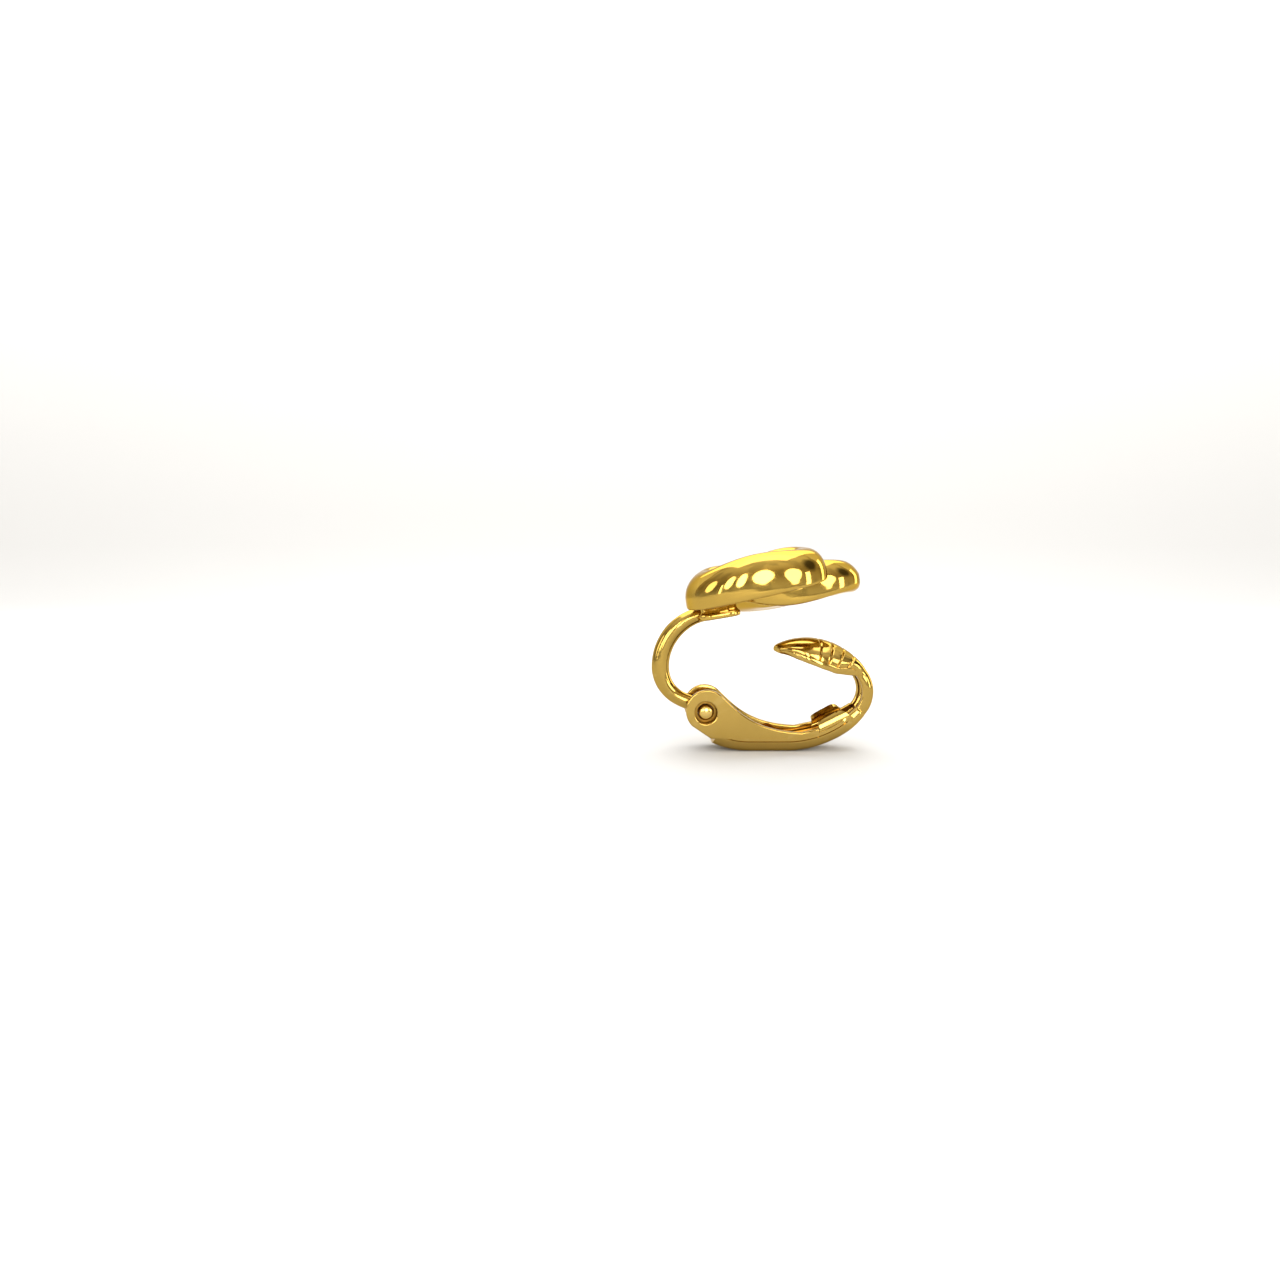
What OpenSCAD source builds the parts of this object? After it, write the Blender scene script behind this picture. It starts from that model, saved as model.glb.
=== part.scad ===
// Clip-on earring, closed, standing on the back of its lever with the ornament on top.
// X runs from the hinge to the bend of the lever, Y across, Z up. Lengths in millimetres.

/* [Ornament] */
// Length of one oval link along X
link_length = 12.6; // [11:0.1:14]
// Width of one oval link along Y
link_width = 10.2; // [9:0.1:11.5]
// Width of the band that a link is made of
band_w = 3; // [2.4:0.1:3.4]
// Height of the band from its flat back to its crest
band_h = 2.8; // [2.4:0.1:3.4]
// Distance between the two links' centres along X
link_shift_x = 3.8; // [3:0.1:4.6]
// Distance between the two links' centres along Y
link_shift_y = 5; // [4.4:0.1:5.6]
// How much higher the first link lies than the second
link_rise = 1.4; // [1:0.1:1.8]
// Angle by which the second link rises more steeply than the first
link_skew = 4; // [0:0.5:6]
// Height by which one strand passes over the other where they cross
crossing_lift = 0.7; // [0.3:0.05:1]
// Radius of the ornament's long bow along X, over its crests
bow_r_x = 22; // [18:1:60]
// Radius of the long bow along X, over its back
back_r_x = 32; // [22:1:80]
// How far the second link's back hangs below its bow, at its lowest
belly_depth = 0.9; // [0:0.05:1.1]
// How far the first link's crest is crowned above its bow, at its highest
crown_h = 0.6; // [0:0.05:0.8]
// Radius of the ornament's bow across, along Y
bow_r_y = 34; // [24:1:60]
// Angle by which the ornament rises away from the hinge
ornament_pitch = 9.5; // [6:0.5:12]

/* [Pad and hoop] */
// Length of the soldering pad along X
pad_length = 3.8; // [3:0.1:4.4]
// Width of the soldering pad along Y
pad_width = 5.4; // [4:0.1:6.4]
// Thickness of the soldering pad
pad_t = 0.5; // [0.4:0.05:0.8]
// Diameter of the hoop's wire
wire_d = 1.6; // [1.2:0.05:1.8]
// Radius of the hoop's upper arc, to the wire's middle
hoop_r_top = 4.9; // [4.5:0.05:5.3]
// Radius of the hoop's lower arc, to the wire's middle
hoop_r_low = 3.3; // [3:0.05:3.6]
// Height of the hoop's widest point above the base
hoop_mid_z = 7.5; // [7.2:0.05:7.8]

/* [Hinge] */
// Height of the hinge axis above the base
hinge_z = 3.55; // [3.4:0.05:3.7]
// Diameter of the hinge pin
pin_d = 1.3; // [1:0.05:1.5]
// Radial clearance of the pin in the hoop's knuckle
knuckle_clearance = 0.05; // [0.03:0.01:0.1]
// Diameter of the loose holes in the lever's ears
ear_hole_d = 2; // [1.8:0.05:2.2]
// Radius of the round end of an ear
ear_r = 1.9; // [1.7:0.05:2.1]
// Outer diameter of the knuckle between the ears
knuckle_d = 2.7; // [2.4:0.05:2.8]
// Gap between the knuckle and each ear
ear_gap = 0.15; // [0.08:0.01:0.3]

/* [Lever] */
// Width of the lever's channel
lever_w = 4.4; // [4:0.1:5.2]
// Thickness of the lever's sheet
sheet_t = 0.6; // [0.4:0.05:0.7]
// Radius of the channel's rounded lower corners
corner_r = 0.9; // [0.75:0.05:1.1]
// Length of the flat strip that the earring stands on
flat_length = 3.4; // [2.6:0.1:4]
// Radius of the spine between the flat strip and the hinge
spine_r_hinge = 7.8; // [7:0.1:10]
// Radius of the spine between the flat strip and the bend
spine_r_bend = 9.77; // [9.4:0.01:10.4]
// Angle through which the spine rises towards the bend
spine_rise = 46.6; // [43:0.1:50]
// Outer radius of the lever's bend
bend_r = 3.2; // [2.8:0.05:3.6]
// Width of the strip at the bend
bend_w = 3.2; // [2.6:0.1:4]
// Depth of the strip's curled edges at the bend
bend_edge = 1.1; // [0.9:0.05:1.4]

/* [Paddle] */
// Radius of the paddle's crest line
paddle_r = 6.3; // [5.9:0.05:6.7]
// Angle that the crest line turns through
paddle_turn = 86; // [80:1:90]
// Greatest width of the paddle
paddle_w = 5.8; // [5:0.1:6.6]
// Greatest depth of the paddle's dome, from crest to rim
paddle_depth = 2.45; // [2:0.05:2.7]
// Height of the upright rim below the dome
rim_h = 0.6; // [0.4:0.05:0.8]
// Number of raised ribs across the paddle
rib_count = 4; // [3:1:5]
// Height of a rib
rib_h = 0.12; // [0.06:0.01:0.2]

/* [Spring] */
// Thickness of the leaf spring
spring_t = 0.28; // [0.2:0.02:0.36]
// Width of the leaf spring
spring_w = 2.4; // [1.8:0.1:2.8]
// Radius that the leaf spring is bowed to
spring_r = 15.2; // [14:0.1:18]
// Height of the lugs that hold the spring, above the wall that they stand on
lug_h = 1.3; // [1:0.05:1.5]

/* [Hidden] */
$fn = 64;

// The hoop runs from the knuckle up to the pad; its lower end drops to the hinge axis at this angle.
hoop_drop = 24;
hoop_drop_z = hoop_mid_z - hoop_r_low * cos(hoop_drop) - hinge_z;
hoop_back = hoop_drop_z / tan(hoop_drop) + hoop_r_low * (1 - sin(hoop_drop));

// Along X, counted from the hinge axis: where the spine stops and where the flat strip starts.
spine_end = 0.58;
hinge_to_flat = 3.85;
reach_left = hoop_back + wire_d / 2;
reach_right = hinge_to_flat + flat_length + spine_r_bend * sin(spine_rise) + bend_r * (1 - sin(spine_rise));
hinge_x = (reach_left - reach_right) / 2;
flat_x0 = hinge_x + hinge_to_flat;
flat_x1 = flat_x0 + flat_length;
hoop_x = hinge_x - hoop_back;

// The ornament's middle, counted from the end of the hoop's upper arc, along and square to the pad.
middle_from_wire = 6.5;
back_above_pad = 0.5;
pad_from_wire = -0.8;
pad_corner_r = 1.2;
wire_stub = 2.2;
wire_sides = 14;
// The wire's thickness as a share of its diameter: at its tip under the links, before the pad, at both ends.
wire_tip = 0.35;
wire_neck = 0.7;
wire_end = 0.86;
// Seats between pad and links: x from, x to, y from, y to, height of the top above the pad.
seats = [[-0.5, 2, -2.4, 0.4, 2], [1.3, 2.8, -1.3, 2.4, 1.4]];
seat_sink = 0.1;
seat_corner_r = 0.5;

link_stations = 60;
// Where the first link's crown and the second link's belly are greatest, and how far they reach.
crown_x = -2.5;
crown_reach = 6.5;
belly_x = 0.8;
belly_reach = 8.5;
ring_a = (link_length - band_w) / 2;
ring_b = (link_width - band_w) / 2;
half_shift = [link_shift_x / 2 / ring_a, link_shift_y / 2 / ring_b];
cross_mid = atan2(half_shift.y, half_shift.x);
cross_half = acos(norm(half_shift));
cross_spread = 38;
band_wall = band_h * 0.28;
band_bevel = 0.25;
dome_power = 2.3;

knuckle_w = lever_w - 2 * sheet_t - 2 * ear_gap;
pin_length = lever_w;
ear_offset = [0.1, 0.15];

// Side walls of the channel: their height above the base along the lever.
wall_low = 1.35;
wall_inset = 0.02;
wall_mid_run = 1.3;
wall_mid_z = 1.75;
wall_end_run = 2.9;
wall_end_z = 2.1;
wall_mid_x = flat_x1 + wall_mid_run;
wall_end_x = flat_x1 + wall_end_run;
// How far the wall's upper edge runs straight on from the ear, and past the start of the flat.
ear_run = 1.7;
edge_run = 0.8;
edge_rise = 0.15;
// How far the wall's lower edge stands in the sheet at its two ends.
heel_back = 0.15;
heel_rise = 0.3;
end_rise = 0.4;
lug_from = 2.95;
lug_to = 5.7;
lug_sink = 0.25;
lug_root = 0.1;
lug_slant = 0.55;
lug_chamfer = 0.25;
lug_x0 = flat_x1 + lug_from;
lug_x1 = flat_x1 + lug_to;
lug_lean = 24;
lug_t = 0.8 * sheet_t;

spine_t0 = asin((hinge_to_flat - spine_end) / spine_r_hinge);
bend_c = [flat_x1 + (spine_r_bend - bend_r) * sin(spine_rise),
          spine_r_bend - (spine_r_bend - bend_r) * cos(spine_rise)];
paddle_start = 124;
strip_run = 0.4;
strip_end = bend_c + bend_r * [sin(paddle_start), -cos(paddle_start)]
            + strip_run * [cos(paddle_start), sin(paddle_start)];
paddle_c = strip_end - paddle_r * [sin(paddle_start), -cos(paddle_start)];
// Angles along the paddle: where the first rib starts, from rib to rib, and a groove's place in that.
rib_first = 12;
rib_pitch = 10.6;
groove_share = 0.22;
corner_steps = 5;
rim_least = 0.1;
// Rise of the strip where it starts to narrow, and over which it does.
narrow_from = 36;
narrow_over = 16;
// The paddle's dome is full at this share of its length; how far its curve then reaches across and down.
dome_from = 0.3;
dome_across = 0.97;
dome_down = 0.6;
// The sheet thins where the dome is shallow or narrow.
thin_depth = 0.7;
thin_width = 0.5;

spring_low_run = 2.4;
spring_lift = 0.4;
spring_from_hinge = 0.9;
spring_past_flat = 4.5;
spring_low_x = flat_x0 + spring_low_run;
spring_low_z = sheet_t + spring_lift;
spring_left = hinge_x + spring_from_hinge;
spring_right = flat_x1 + spring_past_flat;

// Paddle: share of its length, and width and depth as shares of paddle_w and paddle_depth.
leaf_width = [[0, bend_w / paddle_w], [0.15, 0.76], [0.32, 0.95], [0.5, 1], [0.66, 0.94],
              [0.82, 0.72], [0.93, 0.45], [1, 0.2]];
leaf_depth = [[0, bend_edge / paddle_depth], [0.12, 0.76], [0.3, 0.98], [0.45, 1], [0.62, 0.92],
              [0.8, 0.7], [0.92, 0.42], [1, 0.26]];

function mix(a, b, s) = a + (b - a) * min(1, max(0, s));
function smooth(s) = let (c = min(1, max(0, s))) c * c * (3 - 2 * c);
function wrap(a) = a - 360 * round(a / 360);
function boxy(c) = sign(c) * pow(abs(c), 2 / dome_power);
function bump(a) = exp(-pow(wrap(a) / cross_spread, 2));

// Outline of the band across, from u = -band_w / 2 to band_w / 2, v up from its back.
function band_section() =
    let (r = band_w / 2)
    concat([[-r + band_bevel, 0], [r - band_bevel, 0], [r, band_bevel]],
           [for (a = [0:22.5:180]) [r * boxy(cos(a)), band_wall + (band_h - band_wall) * boxy(sin(a))]],
           [[-r, band_bevel]]);

// A point of a link. side is 1 for the link at the hinge end and -1 for the other, turned half round.
function link_point(side, t, uv) =
    let (
        n = [ring_b * cos(t), ring_a * sin(t)] / norm([ring_b * cos(t), ring_a * sin(t)]),
        p = [ring_a * cos(t) - link_shift_x / 2, ring_b * sin(t) - link_shift_y / 2] + uv[0] * n,
        x = side * p.x,
        y = side * p.y,
        step = (crossing_lift + link_rise) / 2,
        lift = side > 0 ? link_rise - step * bump(t - cross_mid - cross_half)
                        : step * bump(t - cross_mid + cross_half),
        skew = side > 0 ? 0 : (x - link_shift_x / 4) * tan(link_skew),
        share = uv[1] / band_h,
        bow = x * x / 2 * mix(1 / back_r_x, 1 / bow_r_x, share) + y * y / (2 * bow_r_y),
        reach = min(1, side > 0 ? abs(x - crown_x) / crown_reach : abs(x - belly_x) / belly_reach),
        swell = (side > 0 ? crown_h * share : -belly_depth * (1 - share)) * pow(cos(90 * reach), 2)
    )
    [x, y, lift + skew - bow + swell + uv[1]];

// Closed tube through rings of points; each ring has the same number of them.
module closed_tube(rings) {
    n = len(rings);
    m = len(rings[0]);
    faces = [for (i = [0:n - 1], j = [0:m - 1])
        [i * m + j, i * m + (j + 1) % m, ((i + 1) % n) * m + (j + 1) % m, ((i + 1) % n) * m + j]];
    polyhedron(points = [for (r = rings, p = r) p], faces = faces, convexity = 6);
}

// Tube through rings of points, closed by a flat end at each side.
module open_tube(rings) {
    n = len(rings);
    m = len(rings[0]);
    sides = [for (i = [0:n - 2], j = [0:m - 1])
        [i * m + j, i * m + (j + 1) % m, (i + 1) * m + (j + 1) % m, (i + 1) * m + j]];
    ends = [[for (j = [m - 1:-1:0]) j], [for (j = [0:m - 1]) (n - 1) * m + j]];
    polyhedron(points = [for (r = rings, p = r) p], faces = concat(sides, ends), convexity = 6);
}

module oval_link(side) {
    section = band_section();
    closed_tube([for (i = [0:link_stations - 1]) let (t = 360 * i / link_stations)
        [for (uv = section) link_point(side, t, uv)]]);
}

module in_side_plane() {
    rotate([90, 0, 0]) children();
}

// Places what is given in the pad's own frame: origin at the end of the hoop's upper arc.
module on_pad() {
    a = 90 + ornament_pitch;
    translate([hoop_x + hoop_r_top + hoop_r_top * cos(a), 0, hoop_mid_z + hoop_r_top * sin(a)])
        rotate([0, -ornament_pitch, 0])
            children();
}

module rounded_slab(x0, x1, y0, y1, z0, z1, r) {
    translate([0, 0, z0])
        linear_extrude(z1 - z0) {
            translate([x0 + r, y0]) square([x1 - x0 - 2 * r, y1 - y0]);
            translate([x0, y0 + r]) square([x1 - x0, y1 - y0 - 2 * r]);
            for (x = [x0 + r, x1 - r], y = [y0 + r, y1 - r])
                translate([x, y]) circle(r);
        }
}

module pad() {
    rounded_slab(pad_from_wire, pad_from_wire + pad_length, -pad_width / 2, pad_width / 2,
                 -pad_t, 0, pad_corner_r);
    for (s = seats)
        rounded_slab(s[0], s[1], s[2], s[3], -seat_sink, s[4], seat_corner_r);
}

// Rows of the wire's middle line, from the pad to the knuckle: arc's centre, its radius, angle, wire's size.
function wire_rows() =
    let (
        top_c = [hoop_x + hoop_r_top, hoop_mid_z],
        low_c = [hoop_x + hoop_r_low, hoop_mid_z],
        a0 = 90 + ornament_pitch,
        a1 = 270 - hoop_drop,
        along = [cos(ornament_pitch), sin(ornament_pitch)],
        down = [cos(hoop_drop), -sin(hoop_drop)],
        run = hoop_drop_z / sin(hoop_drop) - knuckle_d / 4
    )
    concat(
        [[top_c + wire_stub * along, hoop_r_top, a0, wire_tip],
         [top_c + 0.8 * wire_stub * along, hoop_r_top, a0, wire_neck]],
        [for (k = [0:9]) [top_c, hoop_r_top, mix(a0, 180, k / 9), mix(wire_end, 1, k / 5)]],
        [for (k = [1:8]) [low_c, hoop_r_low, mix(180, a1, k / 8), mix(1, wire_end, k / 8)]],
        [[low_c + run * down, hoop_r_low, a1, wire_end]]);

module hoop() {
    r = wire_d / 2;
    rings = [for (w = wire_rows())
        [for (k = [0:wire_sides - 1]) let (
            a = 360 * k / wire_sides,
            q = w[0] + (w[1] + r * w[3] * cos(a)) * [cos(w[2]), sin(w[2])])
            [q.x, -r * w[3] * sin(a), q.y]]];
    open_tube(rings);
}

module ornament_with_hoop() {
    color("#d9a93f")
        difference() {
            union() {
                on_pad() {
                    translate([middle_from_wire, 0, back_above_pad]) {
                        oval_link(1);
                        oval_link(-1);
                    }
                    pad();
                }
                hoop();
                translate([hinge_x, 0, hinge_z])
                    in_side_plane() cylinder(d = knuckle_d, h = knuckle_w, center = true);
            }
            translate([hinge_x, 0, hinge_z])
                in_side_plane()
                    cylinder(d = pin_d + 2 * knuckle_clearance, h = 2 * lever_w, center = true);
        }
}

module hinge_pin() {
    color("#e6c065")
        translate([hinge_x, 0, hinge_z])
            in_side_plane()
                intersection() {
                    cylinder(d = pin_d, h = pin_length, center = true);
                    sphere(r = pin_length / 2);
                }
}

// Sections of the lever's sheet, from the spine's end by the hinge to the paddle's tip. A row of the
// path is the arc's centre and radius, the sheet's direction there, and the share along the paddle.
function paddle_angles() =
    let (last = rib_first + rib_pitch * rib_count)
    concat([0, rib_first / 2],
           [for (k = [0:rib_count - 1], s = [0:2]) rib_first + rib_pitch * (k + s * groove_share)],
           [for (k = [0:4]) mix(last, paddle_turn, k / 4)]);

function path_rows() = concat(
    [for (k = [0:4]) [[flat_x0, spine_r_hinge], spine_r_hinge, spine_t0 * (k / 4 - 1), 0]],
    [for (k = [0:11]) [[flat_x1, spine_r_bend], spine_r_bend, spine_rise * k / 11, 0]],
    [for (k = [1:9]) [bend_c, bend_r, mix(spine_rise, paddle_start, k / 9), 0]],
    [for (a = paddle_angles()) [paddle_c, paddle_r, paddle_start + a, a / paddle_turn]]);

function is_groove(share) =
    len([for (k = [0:rib_count - 1])
        if (abs(share * paddle_turn - rib_first - rib_pitch * (k + groove_share)) < 0.01) 1]) > 0;

// Half width, depth, and the corner's reach across and down at one row of the path.
function sheet_size(direction, share) =
    let (
        narrowing = smooth((direction - narrow_from) / narrow_over),
        w = share > 0 ? paddle_w / 2 * lookup(share, leaf_width) : mix(lever_w, bend_w, narrowing) / 2,
        h = share > 0 ? paddle_depth * lookup(share, leaf_depth) : mix(wall_low, bend_edge, narrowing),
        dome = smooth(share / dome_from),
        rx = mix(corner_r, dome_across * w, dome),
        rz = mix(min(corner_r, h - rim_least), max(dome_down * h, h - rim_h), dome)
    )
    [w, h, rx, rz];

function sheet_ring(row) =
    let (
        c = row[0],
        r = row[1],
        direction = row[2],
        size = sheet_size(direction, row[3]),
        t = min(sheet_t, thin_depth * size[3], thin_width * size[0]),
        sunk = is_groove(row[3]) ? rib_h : 0,
        curve = [for (k = [0:corner_steps]) 90 * k / corner_steps],
        outer = concat([[size[0], size[1]]],
                       [for (a = curve) [size[0] - size[2] * (1 - cos(a)),
                                         size[3] * (1 - sin(a)) + sunk * sin(a)]]),
        inner = concat([[size[0] - t, size[1]]],
                       [for (a = curve) [size[0] - t - (size[2] - t) * (1 - cos(a)),
                                         t + (size[3] - t) * (1 - sin(a))]]),
        count = corner_steps + 1,
        loop = concat(outer, [for (k = [count:-1:0]) [-outer[k].x, outer[k].y]],
                      [for (k = [0:count]) [-inner[k].x, inner[k].y]],
                      [for (k = [count:-1:0]) inner[k]])
    )
    [for (p = loop) let (q = c + (r - p.y) * [sin(direction), -cos(direction)]) [q.x, p.x, q.y]];

module sheet() {
    rings = [for (row = path_rows()) sheet_ring(row)];
    n = len(rings);
    m = len(rings[0]);
    half = m / 2;
    sides = [for (i = [0:n - 2], j = [0:m - 1])
        [i * m + j, i * m + (j + 1) % m, (i + 1) * m + (j + 1) % m, (i + 1) * m + j]];
    first = [for (j = [0:half - 2]) [j, m - 1 - j, m - 2 - j, j + 1]];
    last = [for (j = [0:half - 2]) let (b = (n - 1) * m) [b + j, b + j + 1, b + m - 2 - j, b + m - 1 - j]];
    polyhedron(points = [for (r = rings, p = r) p], faces = concat(sides, first, last), convexity = 8);
}

function bezier(p, s) =
    pow(1 - s, 3) * p[0] + 3 * s * pow(1 - s, 2) * p[1] + 3 * s * s * (1 - s) * p[2] + pow(s, 3) * p[3];

// The channel's side wall and its ear, in the side plane.
module wall_outline() {
    pin = [hinge_x, hinge_z];
    ear = pin + ear_offset;
    top = ear + ear_r * [cos(45), sin(45)];
    heel = ear + ear_r * [cos(225), sin(225)];
    mid = [wall_mid_x, wall_mid_z];
    edge = [top, top + [ear_run, -ear_run], [flat_x0 + edge_run, wall_mid_z + edge_rise], mid];
    difference() {
        union() {
            translate(ear) circle(ear_r);
            polygon(concat(
                [pin, heel, [hinge_x + spine_end - heel_back, corner_r + heel_rise], [flat_x0, corner_r],
                 [flat_x1, corner_r], [wall_end_x, corner_r + end_rise], [wall_end_x, wall_end_z]],
                [for (k = [10:-1:0]) bezier(edge, k / 10)]));
        }
        translate(pin) circle(d = ear_hole_d);
    }
}

module walls() {
    for (s = [-1, 1])
        translate([0, s * ((lever_w - sheet_t) / 2 - wall_inset), 0])
            in_side_plane() linear_extrude(sheet_t, center = true) wall_outline();
}

// Lugs on both walls, leaning in over the spring.
module lugs() {
    z = spine_r_bend - sqrt(pow(spine_r_bend, 2) - pow((lug_x0 + lug_x1) / 2 - flat_x1, 2));
    slope = asin(((lug_x0 + lug_x1) / 2 - flat_x1) / spine_r_bend);
    length = lug_x1 - lug_x0;
    for (s = [-1, 1])
        translate([(lug_x0 + lug_x1) / 2, s * (lever_w - sheet_t) / 2, z + wall_low - lug_sink])
            rotate([0, -slope, 0])
                rotate([90 + s * lug_lean, 0, 0])
                    linear_extrude(lug_t, center = true)
                        polygon([[-length / 2, -lug_root], [length / 2, -lug_root],
                                 [length / 2, lug_h - lug_slant], [length / 2 - lug_slant, lug_h],
                                 [-length / 2 + lug_chamfer, lug_h], [-length / 2, lug_h - lug_chamfer]]);
}

module paddle_lever() {
    color("#dfb14c") {
        sheet();
        walls();
        lugs();
    }
}

module leaf_spring() {
    c = [spring_low_x, spring_low_z + spring_r];
    a0 = -asin((c.x - spring_left) / spring_r);
    a1 = asin((spring_right - c.x) / spring_r);
    color("#c99a3a")
        translate([c.x, 0, c.y])
            in_side_plane()
                rotate_extrude(angle = a1 - a0, start = 270 + a0)
                    translate([spring_r - spring_t / 2, -spring_w / 2]) square([spring_t, spring_w]);
}

ornament_with_hoop();
hinge_pin();
paddle_lever();
leaf_spring();
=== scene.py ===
import math

import bmesh
import bpy
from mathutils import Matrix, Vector


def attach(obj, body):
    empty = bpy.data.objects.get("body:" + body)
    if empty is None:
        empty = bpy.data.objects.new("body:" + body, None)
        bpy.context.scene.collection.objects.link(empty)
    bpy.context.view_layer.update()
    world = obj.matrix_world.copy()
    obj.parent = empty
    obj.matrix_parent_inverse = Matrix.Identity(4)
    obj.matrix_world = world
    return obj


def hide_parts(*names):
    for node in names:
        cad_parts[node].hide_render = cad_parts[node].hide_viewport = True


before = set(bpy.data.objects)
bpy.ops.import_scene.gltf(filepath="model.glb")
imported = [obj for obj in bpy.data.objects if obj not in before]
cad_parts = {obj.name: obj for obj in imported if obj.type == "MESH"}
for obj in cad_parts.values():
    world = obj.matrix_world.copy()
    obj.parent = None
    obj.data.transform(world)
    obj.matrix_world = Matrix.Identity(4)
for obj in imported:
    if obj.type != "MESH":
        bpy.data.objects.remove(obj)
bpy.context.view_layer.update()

MM = 0.001


# Sizes in millimetres and angles in degrees, the same as the solids'.
LINK_L, LINK_W = 12.6, 10.2
BAND_W, BAND_H = 3.0, 2.8
SHIFT_X, SHIFT_Y = 3.8, 5.0
LINK_RISE, LINK_SKEW, CROSS_LIFT, CROSS_SPREAD = 1.4, 4.0, 0.7, 38.0
BOW_X, BOW_Y, BACK_R = 22.0, 34.0, 32.0
CROWN, CROWN_X, CROWN_REACH = 0.6, -2.5, 6.5
BELLY, BELLY_X, BELLY_REACH = 0.9, 0.8, 8.5
PITCH = 9.5
MIDDLE, BACK_UP = 6.5, 0.5
PAD_FROM, PAD_L, PAD_W, PAD_T, PAD_CORNER = -0.8, 3.8, 5.4, 0.5, 1.2
WIRE_D, HOOP_TOP, HOOP_LOW, HOOP_MID_Z = 1.6, 4.9, 3.3, 7.5
HOOP_DROP, WIRE_STUB, WIRE_TIP, WIRE_NECK, WIRE_END = 24.0, 2.2, 0.35, 0.7, 0.86
HINGE_Z, PIN_D, KNUCKLE_D, HOLE_D, EAR_R = 3.55, 1.3, 2.7, 2.0, 1.9
KNUCKLE_CLEAR, EAR_GAP = 0.05, 0.15
LEVER_W, SHEET_T, CORNER_R, FLAT_L = 4.4, 0.6, 0.9, 3.4
SPINE_HINGE, SPINE_BEND, SPINE_RISE = 7.8, 9.77, 46.6
HINGE_TO_FLAT, SPINE_END = 3.85, 0.58
BEND_R, BEND_W, BEND_EDGE = 3.2, 3.2, 1.1
PADDLE_START, STRIP_RUN = 124.0, 0.4
PADDLE_R, PADDLE_TURN, PADDLE_W, PADDLE_D, RIM_H = 6.3, 86.0, 5.8, 2.45, 0.6
SPRING_T, SPRING_W, SPRING_R = 0.28, 2.4, 15.2
SPRING_LOW, SPRING_LIFT, SPRING_LEFT, SPRING_RIGHT = 2.4, 0.4, 0.9, 4.5


# Curves and angles.
def sin(a):
    return math.sin(math.radians(a))


def cos(a):
    return math.cos(math.radians(a))


def mix(a, b, s):
    return a + (b - a) * min(1.0, max(0.0, s))


def smooth(s):
    c = min(1.0, max(0.0, s))
    return c * c * (3 - 2 * c)


def swell(x, middle, reach):
    """1 at the middle, and falling smoothly to 0 at this reach from it."""
    return cos(90 * min(1.0, abs(x - middle) / reach)) ** 2


def lookup(x, table):
    """A smooth curve through the table's points that never overshoots them."""
    steps = [(x1 - x0, (y1 - y0) / (x1 - x0)) for (x0, y0), (x1, y1) in zip(table, table[1:])]
    slopes = [steps[0][1]]
    for (w0, d0), (w1, d1) in zip(steps, steps[1:]):
        slopes.append((w0 + w1) / (w0 / d1 + w1 / d0) if d0 * d1 > 0 else 0.0)
    slopes.append(steps[-1][1])
    for k, (width, _) in enumerate(steps):
        x0, y0 = table[k]
        y1 = table[k + 1][1]
        if x <= table[k + 1][0]:
            s = min(1.0, max(0.0, (x - x0) / width))
            rise = (s ** 3 - 2 * s * s + s) * slopes[k] + (s ** 3 - s * s) * slopes[k + 1]
            return y0 + (y1 - y0) * (3 * s * s - 2 * s ** 3) + rise * width
    return table[-1][1]


def bezier(p, s):
    q = 1 - s
    w = (q ** 3, 3 * s * q * q, 3 * s * s * q, s ** 3)
    return tuple(sum(w[i] * p[i][k] for i in range(4)) for k in range(2))


# Places in the side plane, worked out as for the solids: the box is centred along X.
drop_z = HOOP_MID_Z - HOOP_LOW * cos(HOOP_DROP) - HINGE_Z
hoop_back = drop_z / math.tan(math.radians(HOOP_DROP)) + HOOP_LOW * (1 - sin(HOOP_DROP))
reach_right = HINGE_TO_FLAT + FLAT_L + SPINE_BEND * sin(SPINE_RISE) + BEND_R * (1 - sin(SPINE_RISE))
HINGE_X = (hoop_back + WIRE_D / 2 - reach_right) / 2
FLAT_X0 = HINGE_X + HINGE_TO_FLAT
FLAT_X1 = FLAT_X0 + FLAT_L
HOOP_X = HINGE_X - hoop_back
bend_c = (FLAT_X1 + (SPINE_BEND - BEND_R) * sin(SPINE_RISE),
          SPINE_BEND - (SPINE_BEND - BEND_R) * cos(SPINE_RISE))
strip_end = (bend_c[0] + BEND_R * sin(PADDLE_START) + STRIP_RUN * cos(PADDLE_START),
             bend_c[1] - BEND_R * cos(PADDLE_START) + STRIP_RUN * sin(PADDLE_START))
paddle_c = (strip_end[0] - PADDLE_R * sin(PADDLE_START), strip_end[1] + PADDLE_R * cos(PADDLE_START))


# Helpers for meshes. They take millimetres.
def link_object(name, me):
    ob = bpy.data.objects.new(name, me)
    bpy.context.scene.collection.objects.link(ob)
    return ob


def to_mesh(bm, name):
    me = bpy.data.meshes.new(name)
    bm.to_mesh(me)
    bm.free()
    return me


def add_mesh(name, verts, faces, material, body, sharp=38.0):
    """A smooth-shaded object that rides on a body, with edges turned by more than sharp kept crisp."""
    me = bpy.data.meshes.new(name)
    me.from_pydata([tuple(c * MM for c in v) for v in verts], [], faces)
    me.validate()
    me.update()
    ob = link_object(name, me)
    me.materials.append(material)
    finish_normals(ob, sharp)
    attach(ob, body)
    return ob


def finish_normals(ob, sharp):
    bm = bmesh.new()
    bm.from_mesh(ob.data)
    bmesh.ops.recalc_face_normals(bm, faces=bm.faces)
    bm.to_mesh(ob.data)
    bm.free()
    for p in ob.data.polygons:
        p.use_smooth = True
    ob.data.set_sharp_from_angle(angle=math.radians(sharp))


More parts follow.
